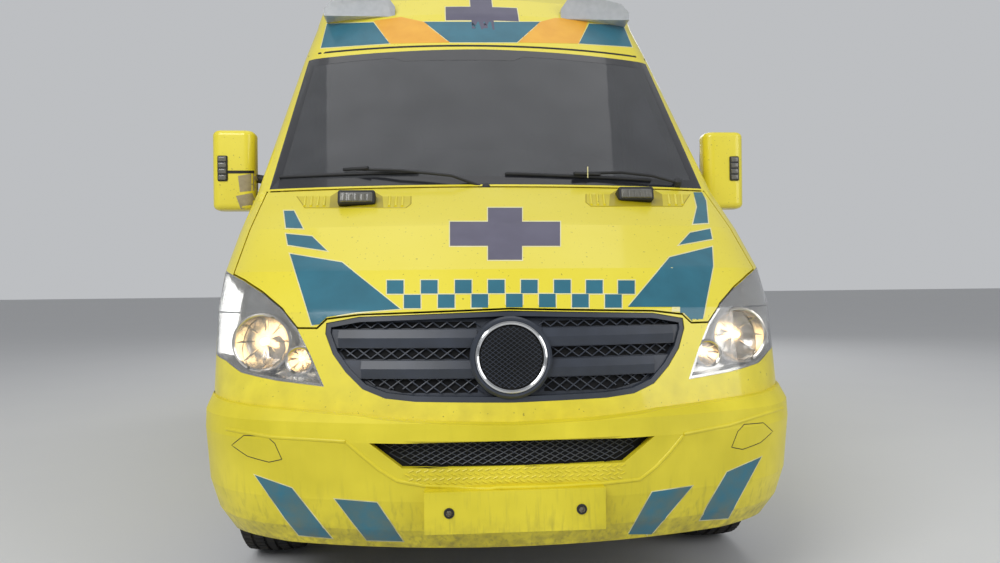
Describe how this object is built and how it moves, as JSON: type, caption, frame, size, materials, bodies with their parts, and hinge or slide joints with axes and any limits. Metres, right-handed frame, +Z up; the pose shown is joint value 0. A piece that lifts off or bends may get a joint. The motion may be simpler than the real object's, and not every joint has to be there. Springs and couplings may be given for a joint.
{
  "type": "ambulance",
  "caption": "High-roofed panel van ambulance in yellow with teal markings; its wheels roll and steer, and its bonnet, cab doors and rear doors open.",
  "frame": {"origin": "on the ground at the middle of the overall length and width", "axes": "+Z up, front towards -Y, +Y along the length to the rear, +X to the vehicle's left"},
  "size_m": [2.512, 5.91, 2.7349],
  "materials": {
    "yellow_paint": "gloss",
    "bumper_plastic": "satin",
    "window_glass": "clear, slightly tinted",
    "lamp_lens": "clear",
    "lamp_reflector": "polished",
    "grille_plastic": "satin",
    "grey_plastic": "matt",
    "floor_steel": "matt",
    "dark_plastic": "grained",
    "seat_fabric": "woven",
    "tail_lens": "clear",
    "beacon_lens": "clear",
    "engine_metal": "cast",
    "axle_steel": "painted black",
    "wheel_steel": "silver paint",
    "tyre_rubber": "matt"
  },
  "bodies": {
    "root": {"roof": "yellow_paint", "windscreen": "window_glass", "cab_frame": "yellow_paint", "headlamp_lenses": "lamp_lens", "headlamps": "lamp_reflector", "front_panel": "yellow_paint", "wing_left": "yellow_paint", "wing_right": "yellow_paint", "front_bumper": "bumper_plastic", "grille": "grille_plastic", "side_wall_left": "yellow_paint", "side_wall_right": "yellow_paint", "sliding_door": "yellow_paint", "fixed_windows": "window_glass", "bulkhead": "grey_plastic", "floor": "floor_steel", "wheelhouses": "floor_steel", "underframe": "axle_steel", "seat_bases": "dark_plastic", "dashboard": "dark_plastic", "steering_wheel": "dark_plastic", "seats": "seat_fabric", "rear_step": "dark_plastic", "tail_lamps": "tail_lens", "beacons": "beacon_lens", "wipers": "dark_plastic", "engine": "engine_metal", "radiator": "engine_metal", "front_axle": "axle_steel", "rear_axle": "axle_steel"},
    "bonnet": {"hood": "yellow_paint"},
    "door_left": {"cab_door_left": "yellow_paint", "door_glass_left": "window_glass", "mirror_left": "yellow_paint"},
    "rear_left": {"rear_door_left": "yellow_paint", "rear_glass_left": "window_glass"},
    "steer_left": {"knuckle_left": "axle_steel"},
    "wheel_front_left": {"rim_front_left": "wheel_steel", "tyre_front_left": "tyre_rubber"},
    "wheel_rear_left": {"rim_rear_left": "wheel_steel", "tyre_rear_left": "tyre_rubber"},
    "door_right": {"cab_door_right": "yellow_paint", "door_glass_right": "window_glass", "mirror_right": "yellow_paint"},
    "rear_right": {"rear_door_right": "yellow_paint", "rear_glass_right": "window_glass"},
    "steer_right": {"knuckle_right": "axle_steel"},
    "wheel_front_right": {"rim_front_right": "wheel_steel", "tyre_front_right": "tyre_rubber"},
    "wheel_rear_right": {"rim_rear_right": "wheel_steel", "tyre_rear_right": "tyre_rubber"}
  },
  "joints": [
    {"name": "bonnet_hinge", "type": "hinge", "parent": "root", "child": "bonnet", "pos_m": [0, -1.91, 1.428], "axis": [-1, 0, 0], "range_deg": [0, 50]},
    {"name": "cab_door_left_hinge", "type": "hinge", "parent": "root", "child": "door_left", "pos_m": [0.997, -1.497, 1], "axis": [0, 0, -1], "range_deg": [0, 60]},
    {"name": "rear_door_left_hinge", "type": "hinge", "parent": "root", "child": "rear_left", "pos_m": [0.88, 2.917, 1.35], "axis": [0, 0, -1], "range_deg": [0, 180]},
    {"name": "steer_left", "type": "hinge", "parent": "root", "child": "steer_left", "pos_m": [0.77, -1.951, 0.35], "axis": [0, 0, 1], "range_deg": [-35, 35]},
    {"name": "cab_door_right_hinge", "type": "hinge", "parent": "root", "child": "door_right", "pos_m": [-0.997, -1.497, 1], "axis": [0, 0, 1], "range_deg": [0, 60]},
    {"name": "rear_door_right_hinge", "type": "hinge", "parent": "root", "child": "rear_right", "pos_m": [-0.88, 2.917, 1.35], "axis": [0, 0, 1], "range_deg": [0, 180]},
    {"name": "steer_right", "type": "hinge", "parent": "root", "child": "steer_right", "pos_m": [-0.77, -1.951, 0.35], "axis": [0, 0, 1], "range_deg": [-35, 35]},
    {"name": "spin_front_left", "type": "hinge", "parent": "steer_left", "child": "wheel_front_left", "pos_m": [0.855, -1.951, 0.35], "axis": [1, 0, 0], "continuous": true},
    {"name": "spin_rear_left", "type": "hinge", "parent": "root", "child": "wheel_rear_left", "pos_m": [0.855, 1.714, 0.35], "axis": [1, 0, 0], "continuous": true},
    {"name": "spin_front_right", "type": "hinge", "parent": "steer_right", "child": "wheel_front_right", "pos_m": [-0.855, -1.951, 0.35], "axis": [1, 0, 0], "continuous": true},
    {"name": "spin_rear_right", "type": "hinge", "parent": "root", "child": "wheel_rear_right", "pos_m": [-0.855, 1.714, 0.35], "axis": [1, 0, 0], "continuous": true}
  ],
  "couplings": [
    {"joint": "steer_right", "follows": "steer_left", "ratio": 1}
  ]
}
